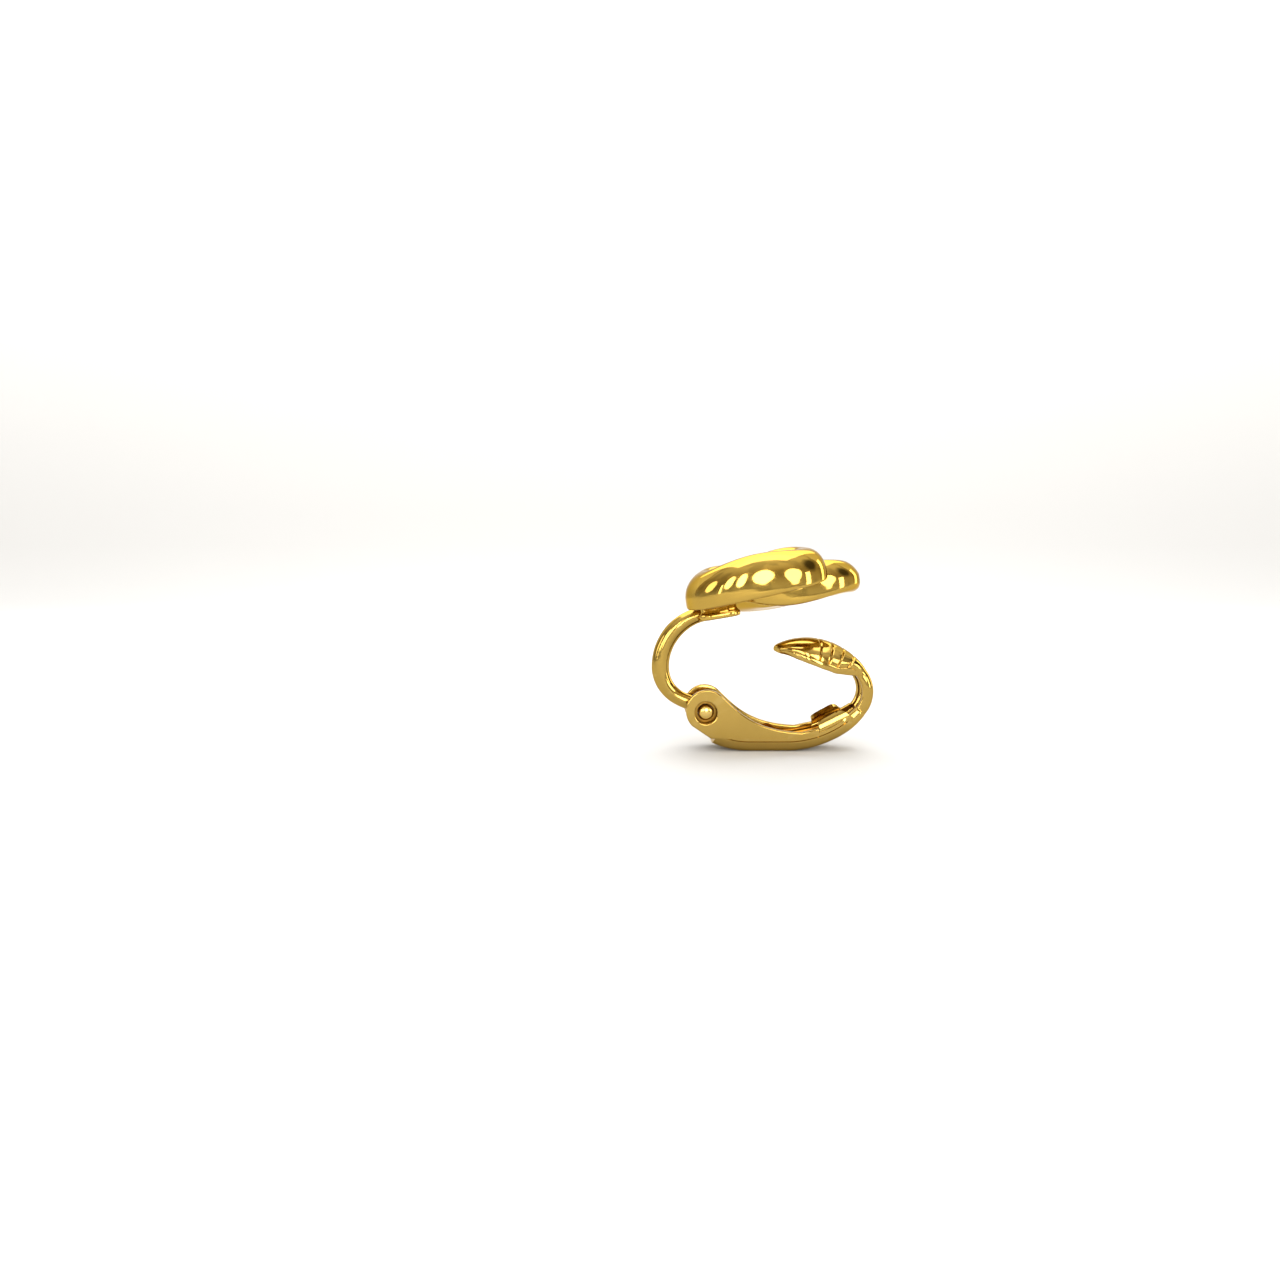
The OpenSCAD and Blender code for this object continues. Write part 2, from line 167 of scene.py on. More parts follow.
def take_result(ob):
    """Keeps what the object's modifiers make of its mesh."""
    bpy.context.view_layer.update()
    done = ob.evaluated_get(bpy.context.evaluated_depsgraph_get())
    me = bpy.data.meshes.new_from_object(done)
    ob.modifiers.clear()
    ob.data = me


def weigh_normals(ob):
    """Shades large faces flat, and lets the narrow bevels between them carry the turn."""
    mod = ob.modifiers.new("weights", "WEIGHTED_NORMAL")
    mod.keep_sharp = True
    mod.weight = 90
    take_result(ob)


def edges_round_flats(me, out):
    """Edges where a face square to Y, at least this far out, meets one that isn't."""
    touching = {}
    for p in me.polygons:
        flat = abs(p.normal.y) > 0.9999 and abs(p.center.y) > out * MM
        for key in p.edge_keys:
            touching.setdefault(key, set()).add(flat)
    return [e.index for e in me.edges if len(touching[e.key]) == 2]


def union(base, others):
    """Joins the others to the base as one skin."""
    for o in others:
        mod = base.modifiers.new("join", "BOOLEAN")
        mod.operation = "UNION"
        mod.solver = "EXACT"
        mod.object = o
    take_result(base)
    for o in others:
        bpy.data.objects.remove(o)


def tube(rings, closed):
    """Skin through rings of equally many points, joined end to end or capped."""
    m = len(rings[0])
    n = len(rings)
    verts = [p for r in rings for p in r]
    faces = []
    for i in range(n if closed else n - 1):
        for j in range(m):
            a, b = i * m + j, i * m + (j + 1) % m
            c, d = ((i + 1) % n) * m + (j + 1) % m, ((i + 1) % n) * m + j
            faces.append((a, b, c, d))
    if not closed:
        faces.append(tuple(range(m - 1, -1, -1)))
        faces.append(tuple((n - 1) * m + j for j in range(m)))
    return verts, faces


def rounded_ring(x0, x1, y0, y1, z, r, inset, steps=8):
    """Outline of a rounded rectangle at one height, drawn in by the inset."""
    ring = []
    corners = ((x1 - r, y1 - r, 0), (x0 + r, y1 - r, 90), (x0 + r, y0 + r, 180), (x1 - r, y0 + r, 270))
    for cx, cy, a0 in corners:
        for k in range(steps + 1):
            a = a0 + 90 * k / steps
            ring.append((cx + (r - inset) * cos(a), cy + (r - inset) * sin(a), z))
    return ring


def slab(x0, x1, y0, y1, z0, z1, r, bevel):
    """Rounded slab with rounded upper and lower edges, as rings from bottom to top."""
    levels = [(z0, bevel)]
    levels += [(z0 + bevel * (1 - cos(a)), bevel * (1 - sin(a))) for a in (30, 60, 90)]
    levels += [(z1 - bevel * (1 - cos(a)), bevel * (1 - sin(a))) for a in (90, 60, 30)]
    levels += [(z1, bevel)]
    return [rounded_ring(x0, x1, y0, y1, z, r, inset) for z, inset in levels]


def turned(profile, x, z, sides=72, closed=True):
    """Turns (radius, y) points about an axis along Y."""
    rings = [[(x + r * cos(360 * k / sides), y, z + r * sin(360 * k / sides)) for k in range(sides)]
             for r, y in profile]
    return tube(rings, closed)


def on_pad(p):
    """From the pad's own axes, whose origin is the end of the hoop's upper arc."""
    a = 90 + PITCH
    ox = HOOP_X + HOOP_TOP + HOOP_TOP * cos(a)
    oz = HOOP_MID_Z + HOOP_TOP * sin(a)
    x, y, z = p
    return (ox + x * cos(PITCH) - z * sin(PITCH), y, oz + x * sin(PITCH) + z * cos(PITCH))


# Helpers for shader nodes. Those from noise on return an output socket.
def set_inputs(made, inputs):
    for name, value in inputs.items():
        made.inputs[name].default_value = value


def add_node(tree, kind, inputs=None):
    """A new node with the given values on its own sockets."""
    made = tree.nodes.new(kind)
    set_inputs(made, inputs or {})
    return made


def noise(tree, place, scale, detail):
    made = add_node(tree, "ShaderNodeTexNoise", {"Scale": scale, "Detail": detail})
    tree.links.new(place, made.inputs["Vector"])
    return made.outputs["Fac"]


def remap(tree, value, low, high, to_low=0.0, to_high=1.0):
    """The value moved from one range to another and kept inside it."""
    made = add_node(tree, "ShaderNodeMapRange", {"From Min": low, "From Max": high,
                                                 "To Min": to_low, "To Max": to_high})
    tree.links.new(value, made.inputs["Value"])
    return made.outputs["Result"]


def combine(tree, operation, first, second):
    made = add_node(tree, "ShaderNodeMath")
    made.operation = operation
    tree.links.new(first, made.inputs[0])
    tree.links.new(second, made.inputs[1])
    return made.outputs["Value"]


def toward_color(tree, share, under, color):
    """The colour below, replaced by a plain colour by this share."""
    made = add_node(tree, "ShaderNodeMixRGB", {"Color2": (*color, 1)})
    tree.links.new(share, made.inputs["Fac"])
    tree.links.new(under, made.inputs["Color1"])
    return made.outputs["Color"]


def darken(tree, color, by):
    made = add_node(tree, "ShaderNodeMixRGB", {"Fac": 1.0})
    made.blend_type = "MULTIPLY"
    tree.links.new(color, made.inputs["Color1"])
    tree.links.new(by, made.inputs["Color2"])
    return made.outputs["Color"]


# Materials. Scales are in waves per metre, and depths in metres.
BROAD_SCALE, FINE_SCALE, HAIR_SCALE = 260.0, 2600.0, 900.0
HAIR_STRETCH = (0.25, 3.0, 2.2)
GRAZING_TINT = (0.72, 0.6, 0.42, 1)
PATCH_SHADE, RUBBED = 0.93, (1.04, 1.08, 1.3)
WAVE_DEPTH, PIT_DEPTH, PIT_SHARE = 0.00022, 0.00002, 0.35


def bump_node(tree, strength, distance, height):
    made = add_node(tree, "ShaderNodeBump", {"Strength": strength, "Distance": distance})
    tree.links.new(height, made.inputs["Height"])
    return made


def gold(name, base, rough, vary, bump, painted_recess_shade):
    """Polished gold plate: its colour, roughness and by how much that varies, relief, and the colour of
    painted shade in recesses.
    """
    mat = bpy.data.materials.new(name)
    mat.use_nodes = True
    nt = mat.node_tree
    link = nt.links.new
    bsdf = nt.nodes["Principled BSDF"]
    set_inputs(bsdf, {"Metallic": 1.0, "Specular Tint": GRAZING_TINT})
    place = add_node(nt, "ShaderNodeTexCoord").outputs["Object"]
    broad = noise(nt, place, BROAD_SCALE, 3.0)
    fine = noise(nt, place, FINE_SCALE, 4.0)
    # Colour: plating a little deeper in patches, paler on rubbed edges, and painted shade in recesses,
    # darker and redder.
    ramp = add_node(nt, "ShaderNodeValToRGB")
    stops = ramp.color_ramp.elements
    stops[0].position, stops[1].position = 0.32, 0.68
    stops[0].color = (*[c * PATCH_SHADE for c in base], 1)
    stops[1].color = (*base, 1)
    link(broad, ramp.inputs["Fac"])
    pointed = add_node(nt, "ShaderNodeNewGeometry").outputs["Pointiness"]
    rubbed = [min(1, c * f) for c, f in zip(base, RUBBED)]
    color = toward_color(nt, remap(nt, pointed, 0.5, 0.62), ramp.outputs["Color"], rubbed)
    # Painted shade: concave places, found by pointiness, turn towards the darker, redder recess colour.
    color = toward_color(nt, remap(nt, pointed, 0.5, 0.4), color, painted_recess_shade)
    link(color, bsdf.inputs["Base Color"])
    # Roughness: polish with faint cloudy haze and hairlines.
    stretch = add_node(nt, "ShaderNodeMapping", {"Scale": HAIR_STRETCH})
    link(place, stretch.inputs["Vector"])
    hair = noise(nt, stretch.outputs["Vector"], HAIR_SCALE, 2.0)
    haze = combine(nt, "MULTIPLY", hair, broad)
    link(remap(nt, haze, 0.12, 0.4, rough, rough + vary), bsdf.inputs["Roughness"])
    # Relief: the soft waviness of hand polishing, then fine pitting.
    waves = bump_node(nt, bump, WAVE_DEPTH, broad)
    pits = bump_node(nt, bump * PIT_SHARE, PIT_DEPTH, fine)
    link(waves.outputs["Normal"], pits.inputs["Normal"])
    link(pits.outputs["Normal"], bsdf.inputs["Normal"])
    return mat


# The last colour of each is the painted shade put into its recesses.
CAST = gold("cast_gold", (0.49, 0.315, 0.062), 0.05, 0.07, 0.16, (0.4, 0.19, 0.012))
# The hoop's gold is painted darker than the cast gold, as shade standing in for the darker surroundings it
# reflects; its stronger relief is real pitting.
WIRE_SHADED = gold("wire_gold_painted_shade", (0.43, 0.28, 0.06), 0.08, 0.1, 0.5, (0.4, 0.19, 0.012))
STAMPED = gold("stamped_gold", (0.45, 0.294, 0.068), 0.07, 0.08, 0.12, (0.38, 0.18, 0.01))
PIN = gold("pin_gold", (0.66, 0.45, 0.12), 0.12, 0.15, 0.3, (0.44, 0.22, 0.02))
# The knuckle's gold: the cast gold painted much darker, as shade between the lever's side walls.
SHADED_INNER = gold("inner_gold_painted_shade", (0.3, 0.17, 0.03), 0.25, 0.15, 0.3, (0.25, 0.1, 0.01))
SPRING = gold("spring_gold", (0.48, 0.27, 0.045), 0.18, 0.16, 0.3, (0.36, 0.15, 0.01))

# Ornament: two interlaced oval links.
BAND_BEVEL, BAND_WALL, BAND_POWER = 0.25, 0.28, 2.3
BACK_STEPS, CREST_STEPS, LINK_STATIONS = 10, 30, 220
END_SPREAD, END_ROUND, END_DROP = 50.0, 1.0, 0.4


def boxy(c):
    return math.copysign(abs(c) ** (2 / BAND_POWER), c)


def band_section():
    """A link's section, anticlockwise: out from its middle line, and up from its back."""
    r, b = BAND_W / 2, BAND_BEVEL
    wall = BAND_H * BAND_WALL
    crest = [180 * k / CREST_STEPS for k in range(CREST_STEPS + 1)]
    pts = [(-r + b + (2 * r - 2 * b) * k / BACK_STEPS, 0.0) for k in range(BACK_STEPS + 1)]
    pts += [(r - b + b * sin(a), b * (1 - cos(a))) for a in (22.5, 45, 67.5, 90)]
    pts += [(r, b + (wall - b) * 0.5)]
    pts += [(r * boxy(cos(a)), wall + (BAND_H - wall) * boxy(sin(a))) for a in crest]
    pts += [(-r, b + (wall - b) * 0.5)]
    pts += [(-r + b - b * cos(a), b - b * sin(a)) for a in (0, 22.5, 45, 67.5)]
    return pts


ring_a, ring_b = (LINK_L - BAND_W) / 2, (LINK_W - BAND_W) / 2
half_x, half_y = SHIFT_X / 2 / ring_a, SHIFT_Y / 2 / ring_b
cross_mid = math.degrees(math.atan2(half_y, half_x))
cross_half = math.degrees(math.acos(math.hypot(half_x, half_y)))
cross_step = (CROSS_LIFT + LINK_RISE) / 2


def near_crossing(a):
    a -= 360 * round(a / 360)
    return math.exp(-((a / CROSS_SPREAD) ** 2))


def link_point(side, t, u, v):
    """A point of a link: side 1 lies at the hinge, -1 at the far end; t round it, (u, v) in its section."""
    nx, ny = ring_b * cos(t), ring_a * sin(t)
    s = math.hypot(nx, ny)
    x = side * (ring_a * cos(t) - SHIFT_X / 2 + u * nx / s)
    y = side * (ring_b * sin(t) - SHIFT_Y / 2 + u * ny / s)
    share = v / BAND_H
    if side > 0:
        back = LINK_RISE - cross_step * near_crossing(t - cross_mid - cross_half)
        back += CROWN * share * swell(x, CROWN_X, CROWN_REACH)
    else:
        back = cross_step * near_crossing(t - cross_mid + cross_half)
        back += (x - SHIFT_X / 4) * math.tan(math.radians(LINK_SKEW))
        back -= BELLY * (1 - share) * swell(x, BELLY_X, BELLY_REACH)
        # The far end hangs a little lower and its lower corner is rounder.
        end = math.exp(-(((t - 180) / END_SPREAD) ** 2))
        over = max(0.0, u - BAND_W / 2 + END_ROUND)
        back += end * (1 - share) * (END_ROUND - math.sqrt(END_ROUND ** 2 - over ** 2) - END_DROP)
    back -= x * x / 2 * mix(1 / BACK_R, 1 / BOW_X, share) + y * y / (2 * BOW_Y)
    return (x, y, back + v)


def in_ornament(p):
    return on_pad((p[0] + MIDDLE, p[1], p[2] + BACK_UP))


section = band_section()
for side, name in ((1, "link_hinge_end"), (-1, "link_far_end")):
    rings = [[in_ornament(link_point(side, 360 * i / LINK_STATIONS, u, v)) for u, v in section]
             for i in range(LINK_STATIONS)]
    ob = add_mesh(name, *tube(rings, True), CAST, "front")
    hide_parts("ornament_with_hoop")

# Pad, and the seats between it and the links.
PAD_BEVEL, SEAT_CORNER = 0.14, 0.5
# Where a seat starts and ends along X and across Y, and its height.
SEATS = ((-0.5, 2.0, -2.4, 0.4, 2.0), (1.3, 2.8, -1.3, 2.4, 1.4))
# A seat flares where its solder flowed out over the pad: height, and how many times as broad.
FLARE = ((-0.1, 1.16), (0.02, 1.14), (0.08, 1.07), (0.18, 1.02), (0.3, 1.0))

pad_rings = slab(PAD_FROM, PAD_FROM + PAD_L, -PAD_W / 2, PAD_W / 2, -PAD_T, 0.0, PAD_CORNER, PAD_BEVEL)
ob = add_mesh("pad", *tube([[on_pad(p) for p in r] for r in pad_rings], False), CAST, "front")
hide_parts("ornament_with_hoop")
for k, (x0, x1, y0, y1, top) in enumerate(SEATS):
    cx, cy = (x0 + x1) / 2, (y0 + y1) / 2
    base = rounded_ring(x0, x1, y0, y1, top, SEAT_CORNER, 0.0)
    flared = [[on_pad((cx + (p[0] - cx) * f, cy + (p[1] - cy) * f, z)) for p in base]
              for z, f in (*FLARE, (top, 1.0))]
    ob = add_mesh(f"pad_seat_{k + 1}", *tube(flared, False), CAST, "front")
    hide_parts("ornament_with_hoop")


# Hoop. Sections along its stub under the links, upper arc, lower arc and last run to the knuckle, and
# along the upper arc until the wire is full. The stub's neck is at this share of its length.
STUB_ROWS, TOP_ROWS, LOW_ROWS, RUN_ROWS, FULL_ROWS = 8, 40, 36, 6, 24
NECK_FROM = 0.3


def hoop_rows():
    """Arc middle, arc radius, angle round it and the wire's thickness there, from the pad down."""
    along = (cos(PITCH), sin(PITCH))
    down = (cos(HOOP_DROP), -sin(HOOP_DROP))
    a0, a1 = 90 + PITCH, 270 - HOOP_DROP
    top_c = (HOOP_X + HOOP_TOP, HOOP_MID_Z)
    low_c = (HOOP_X + HOOP_LOW, HOOP_MID_Z)
    run = drop_z / sin(HOOP_DROP) - KNUCKLE_D / 4
    rows = []
    for k in range(STUB_ROWS + 1):
        s = k / STUB_ROWS
        d = WIRE_STUB * (1 - s)
        if s < NECK_FROM:
            size = mix(WIRE_TIP, WIRE_NECK, s / NECK_FROM)
        else:
            size = mix(WIRE_NECK, WIRE_END, (s - NECK_FROM) / (1 - NECK_FROM))
        rows.append(((top_c[0] + d * along[0], top_c[1] + d * along[1]), HOOP_TOP, a0, size))
    for k in range(1, TOP_ROWS + 1):
        rows.append((top_c, HOOP_TOP, mix(a0, 180, k / TOP_ROWS), mix(WIRE_END, 1, smooth(k / FULL_ROWS))))
    for k in range(1, LOW_ROWS + 1):
        rows.append((low_c, HOOP_LOW, mix(180, a1, k / LOW_ROWS), mix(1, WIRE_END, smooth(k / LOW_ROWS))))
    for k in range(1, RUN_ROWS + 1):
        d = run * k / RUN_ROWS
        rows.append(((low_c[0] + d * down[0], low_c[1] + d * down[1]), HOOP_LOW, a1, WIRE_END))
    return rows


def hoop_rings(sides=40):
    rings = []
    for c, big, a, size in hoop_rows():
        r = WIRE_D / 2 * size
        ring = []
        for k in range(sides):
            t = 360 * k / sides
            reach = big + r * cos(t)
            ring.append((c[0] + reach * cos(a), -r * sin(t), c[1] + reach * sin(a)))
        rings.append(ring)
    return rings


ob = add_mesh("hoop", *tube(hoop_rings(), False), WIRE_SHADED, "front")
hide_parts("ornament_with_hoop")

# Knuckle with its bore, and the pin. Each profile is half of one, as radius and distance from the middle.
KNUCKLE_EDGE, BORE_EDGE, EDGE_CUT = 0.12, 0.06, 0.035
PIN_BULGE = 0.7
PIN_END = [(0.001, 1.0), (0.2, 0.99), (0.38, 0.965), (0.5, 0.93), (0.58, 0.89), (0.63, 0.84), (0.65, 0.78)]

kr, kb, kh = KNUCKLE_D / 2, PIN_D / 2 + KNUCKLE_CLEAR, LEVER_W / 2 - SHEET_T - EAR_GAP
half = [(kb, kh - BORE_EDGE), (kb + BORE_EDGE, kh), (kr - KNUCKLE_EDGE, kh), (kr - EDGE_CUT, kh - EDGE_CUT),
        (kr, kh - KNUCKLE_EDGE)]
profile = [(r, -y) for r, y in half] + [(kr, y) for y in (-0.5, 0, 0.5)] + half[::-1]
ob = add_mesh("knuckle", *turned(profile, HINGE_X, HINGE_Z), SHADED_INNER, "front")
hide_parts("ornament_with_hoop")

pr, ph = PIN_D / 2, LEVER_W / 2
half = [(pr * r / PIN_END[-1][0], ph * (1 - (1 - h) * PIN_BULGE)) for r, h in PIN_END]
profile = [(r, -y) for r, y in half] + [(pr, y) for y in (-1.2, 0, 1.2)] + half[::-1]
ob = add_mesh("hinge_pin_turned", *turned(profile, HINGE_X, HINGE_Z, 56, False), PIN, "front")
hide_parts("hinge_pin")

# Lever: one stamped sheet from the spine's end to the paddle's tip.
WALL_LOW = 1.35
CURVE_STEPS = 14
LIP, LIP_CUT, CREASE, LEDGE = 0.08, 0.024, 0.06, 0.1
# The paddle's width and depth, as shares of the greatest, by the share of the way to its tip.
LEAF_WIDTH = [(0, BEND_W / PADDLE_W), (0.15, 0.76), (0.32, 0.95), (0.5, 1), (0.66, 0.94), (0.82, 0.72),
              (0.93, 0.45), (1, 0.2)]
LEAF_DEPTH = [(0, BEND_EDGE / PADDLE_D), (0.12, 0.76), (0.3, 0.98), (0.45, 1), (0.62, 0.92), (0.8, 0.7),
              (0.92, 0.42), (1, 0.26)]
# Grooves pressed across the paddle: by their angle along it, half the width of one, and its depth.
GROOVE_FIRST, GROOVE_PITCH, GROOVE_COUNT = 14.332, 10.6, 4
GROOVES = [GROOVE_FIRST + GROOVE_PITCH * k for k in range(GROOVE_COUNT)]
GROOVE_HALF, GROOVE_D = 1.3, 0.09
# Rise of the strip where it starts to narrow and where its crease starts to fade, and over how much more.
NARROW_FROM, FADE_FROM, NARROW_OVER = 36, 30, 16
# The dome and its ledge are full at these shares of the paddle; how far the dome's curve reaches then.
DOME_FROM, LEDGE_FROM, DOME_ACROSS, DOME_DOWN, RIM_LEAST = 0.3, 0.12, 0.97, 0.6, 0.1
# The crease lies between these heights above the rounded corner. The ledge takes this share of its depth.
CREASE_TOP, CREASE_FOOT, LEDGE_IN_CREASE = 0.09, 0.035, 0.3
# The sheet thins where the dome is shallow or narrow.
THIN_DEPTH, THIN_WIDTH = 0.7, 0.5
# Shares of the way along the paddle where its hollow starts to run out, and where its tip is rounded.
FILL_FROM, FILL_OVER, TIP_FROM = 0.86, 0.1, 0.95
# What is left of the hollow, half across and down from the edge; the tip's middle height and least size.
SLIT_HALF, SLIT_DEPTH, TIP_MIDDLE, TIP_LEAST = 0.03, 0.02, 0.55, 0.05
# Sections along the ears, flat strip, spine, bend and paddle, and in half a groove.
EAR_ROWS, FLAT_ROWS, SPINE_ROWS, BEND_ROWS, PADDLE_ROWS, GROOVE_ROWS = 12, 4, 36, 36, 96, 4


def groove(share):
    """Depth of the sheet's outside below the paddle's dome."""
    near = min(abs(share * PADDLE_TURN - g) for g in GROOVES)
    return GROOVE_D * (1 - smooth(near / GROOVE_HALF))


def sheet_size(direction, share):
    """Half the sheet's width, its height, and the reach of its rounded corner across and up."""
    narrowing = smooth((direction - NARROW_FROM) / NARROW_OVER)
    if share > 0:
        w = PADDLE_W / 2 * lookup(share, LEAF_WIDTH)
        h = PADDLE_D * lookup(share, LEAF_DEPTH)
    else:
        w = mix(LEVER_W, BEND_W, narrowing) / 2
        h = mix(WALL_LOW, BEND_EDGE, narrowing)
    dome = smooth(share / DOME_FROM)
    rx = mix(CORNER_R, DOME_ACROSS * w, dome)
    rz = mix(min(CORNER_R, h - RIM_LEAST), max(DOME_DOWN * h, h - RIM_H), dome)
    return w, h, rx, rz


def side_of_sheet(direction, share):
    """Outside and inside of one half of a section, from its edge down to its middle."""
    w, h, rx, rz = sheet_size(direction, share)
    t = min(SHEET_T, THIN_DEPTH * rz, THIN_WIDTH * w)
    sunk = groove(share) if share > 0 else 0.0
    crease = CREASE * (1 - smooth((direction - FADE_FROM) / NARROW_OVER))
    ledge = LEDGE * smooth(share / LEDGE_FROM)
    angles = [90 * k / CURVE_STEPS for k in range(CURVE_STEPS + 1)]
    over, under = rz + CREASE_TOP, rz + CREASE_FOOT
    outer = [(w - LIP, h), (w - LIP_CUT, h - LIP_CUT), (w, h - LIP)]
    outer += [(w, over), (w - max(crease, LEDGE_IN_CREASE * ledge), under)]
    outer += [(w - ledge - (rx - ledge) * (1 - cos(a)) - sunk * cos(a), rz * (1 - sin(a)) + sunk * sin(a))
              for a in angles]
    inner = [(w - t + LIP, h), (w - t + LIP_CUT, h - LIP_CUT), (w - t, h - LIP)]
    inner += [(w - t, over), (w - t, under)]
    inner += [(w - t - (rx - t) * (1 - cos(a)), t + (rz - t) * (1 - sin(a))) for a in angles]
    # The paddle's hollow runs out before its tip, which is solid and rounded.
    fill = smooth((share - FILL_FROM) / FILL_OVER)
    inner = [(mix(x, SLIT_HALF, fill), mix(z, h - SLIT_DEPTH, fill)) for x, z in inner]
    tip = math.sqrt(max(TIP_LEAST, 1 - max(0.0, (share - TIP_FROM) / (1 - TIP_FROM)) ** 2))
    if tip < 1:
        middle = TIP_MIDDLE * h
        outer = [(x * tip, middle + (z - middle) * tip) for x, z in outer]
        inner = [(x * tip, middle + (z - middle) * tip) for x, z in inner]
    return outer, inner


def sheet_ring(c, r, direction, share):
    """One section. A crease runs along the channel's sides and a narrow ledge round the paddle's dome."""
    outer, inner = side_of_sheet(direction, share)
    loop = outer + [(-x, z) for x, z in reversed(outer)] + [(-x, z) for x, z in inner] + inner[::-1]
    return [(c[0] + (r - z) * sin(direction), x, c[1] - (r - z) * cos(direction)) for x, z in loop]


def path_rows():
    """Arc middle, arc radius, direction and share of the way along the paddle, from the ears on."""
    t0 = math.degrees(math.asin((HINGE_TO_FLAT - SPINE_END) / SPINE_HINGE))
    rows = []
    for k in range(EAR_ROWS + 1):
        rows.append(((FLAT_X0, SPINE_HINGE), SPINE_HINGE, t0 * (k / EAR_ROWS - 1), 0))
    for k in range(1, FLAT_ROWS):
        rows.append(((mix(FLAT_X0, FLAT_X1, k / FLAT_ROWS), SPINE_BEND), SPINE_BEND, 0, 0))
    for k in range(SPINE_ROWS + 1):
        rows.append(((FLAT_X1, SPINE_BEND), SPINE_BEND, SPINE_RISE * k / SPINE_ROWS, 0))
    for k in range(1, BEND_ROWS + 1):
        rows.append((bend_c, BEND_R, mix(SPINE_RISE, PADDLE_START, k / BEND_ROWS), 0))
    # Even steps along the paddle, except across the grooves, which have finer ones.
    plain = [PADDLE_TURN * k / PADDLE_ROWS for k in range(PADDLE_ROWS + 1)]
    turns = [a for a in plain if min(abs(a - g) for g in GROOVES) > 1.2 * GROOVE_HALF]
    fine = [GROOVE_HALF * k / GROOVE_ROWS for k in range(-GROOVE_ROWS, GROOVE_ROWS + 1)]
    turns += [g + step for g in GROOVES for step in fine]
    for a in sorted(turns):
        rows.append((paddle_c, PADDLE_R, PADDLE_START + a, max(1e-6, a / PADDLE_TURN)))
    return rows


def sheet_mesh():
    rings = [sheet_ring(*row) for row in path_rows()]
    n, m = len(rings), len(rings[0])
    verts = [p for r in rings for p in r]
    faces = []
    for i in range(n - 1):
        for j in range(m):
            faces.append((i * m + j, i * m + (j + 1) % m, (i + 1) * m + (j + 1) % m, (i + 1) * m + j))
    # The ends are capped in strips, because a section is a thin channel.
    b = (n - 1) * m
    for j in range(m // 2 - 1):
        faces.append((j, m - 1 - j, m - 2 - j, j + 1))
        faces.append((b + j, b + j + 1, b + m - 2 - j, b + m - 1 - j))
    return verts, faces


# Side walls: the ear's middle from the hinge, the upper edge's points, and the heel at the ear's foot.
EAR_OFF = (0.1, 0.15)
EDGE_RUN, EDGE_LOW = 1.7, (0.8, 1.9)
WALL_MID, WALL_END = (1.3, 1.75), (2.9, 2.1)
WALL_FOOT, HEEL_BACK, HEEL_RISE, END_RISE = CORNER_R + 0.12, 0.15, 0.2, 0.34
WALL_BEVEL = 0.1


def wall_outline():
    """Outline of a side wall and its ear, anticlockwise, in the side plane."""
    ear = (HINGE_X + EAR_OFF[0], HINGE_Z + EAR_OFF[1])
    mid = (FLAT_X1 + WALL_MID[0], WALL_MID[1])
    end = (FLAT_X1 + WALL_END[0], WALL_END[1])
    top = (ear[0] + EAR_R * cos(45), ear[1] + EAR_R * sin(45))
    edge = [top, (top[0] + EDGE_RUN, top[1] - EDGE_RUN), (FLAT_X0 + EDGE_LOW[0], EDGE_LOW[1]), mid]
    pts = [(ear[0] + EAR_R * cos(a), ear[1] + EAR_R * sin(a)) for a in range(45, 226, 5)]
    heel = (HINGE_X + SPINE_END - HEEL_BACK, WALL_FOOT + HEEL_RISE)
    pts += [(mix(pts[-1][0], heel[0], k / 4), mix(pts[-1][1], heel[1], k / 4)) for k in range(1, 4)]
    pts += [heel, (FLAT_X0, WALL_FOOT), (FLAT_X1, WALL_FOOT), (end[0], WALL_FOOT + END_RISE), end]
    pts += [bezier(edge, 1 - k / 40) for k in range(0, 40)]
    return pts


def ring_edges(bm, verts):
    return [bm.edges.new((verts[i], verts[(i + 1) % len(verts)])) for i in range(len(verts))]


def wall(side):
    """A side wall with its ear, bored, and with rounded edges."""
    bm = bmesh.new()
    outer = [bm.verts.new((x * MM, 0, z * MM)) for x, z in wall_outline()]
    hole = [bm.verts.new(((HINGE_X + HOLE_D / 2 * cos(a)) * MM, 0, (HINGE_Z + HOLE_D / 2 * sin(a)) * MM))
            for a in range(0, 360, 6)]
    bmesh.ops.triangle_fill(bm, edges=ring_edges(bm, outer) + ring_edges(bm, hole), use_beauty=True)
    made = bmesh.ops.extrude_face_region(bm, geom=list(bm.faces))
    moved = [g for g in made["geom"] if isinstance(g, bmesh.types.BMVert)]
    bmesh.ops.translate(bm, verts=moved, vec=(0, SHEET_T * MM, 0))
    bmesh.ops.recalc_face_normals(bm, faces=bm.faces)
    bmesh.ops.translate(bm, verts=bm.verts, vec=(0, (side * (LEVER_W - SHEET_T) / 2 - SHEET_T / 2) * MM, 0))
    rim = [e for e in bm.edges if len(e.link_faces) == 2 and e.calc_face_angle() > math.radians(70)
           and abs(e.verts[0].co.y - e.verts[1].co.y) < 1e-7]
    bmesh.ops.bevel(bm, geom=rim, offset=WALL_BEVEL * MM, segments=3, profile=0.5, affect="EDGES")
    return link_object("wall", to_mesh(bm, "wall"))


# Outline of a lug: place along the channel from its middle, and height.
LUG_TOP = [(-1.72, 0.06), (-1.5, 0.18), (-1.4, 0.45), (-1.34, 0.74), (-1.2, 0.9), (-0.9, 0.98),
           (0.2, 1.08), (0.7, 1.12), (1.0, 1.04), (1.25, 0.85), (1.5, 0.45), (1.75, 0.06)]
LUG_MIDDLE, LUG_FOOT, LUG_T, LUG_THIN = 4.325, -0.25, 0.8, 0.72
LUG_LEAN_LOW, LUG_LEAN_TOP = -4.0, 50.0
CURL_LENGTH, CURL_STEPS = 1.6, 40
LUG_STATIONS, LUG_ROWS = 44, 12


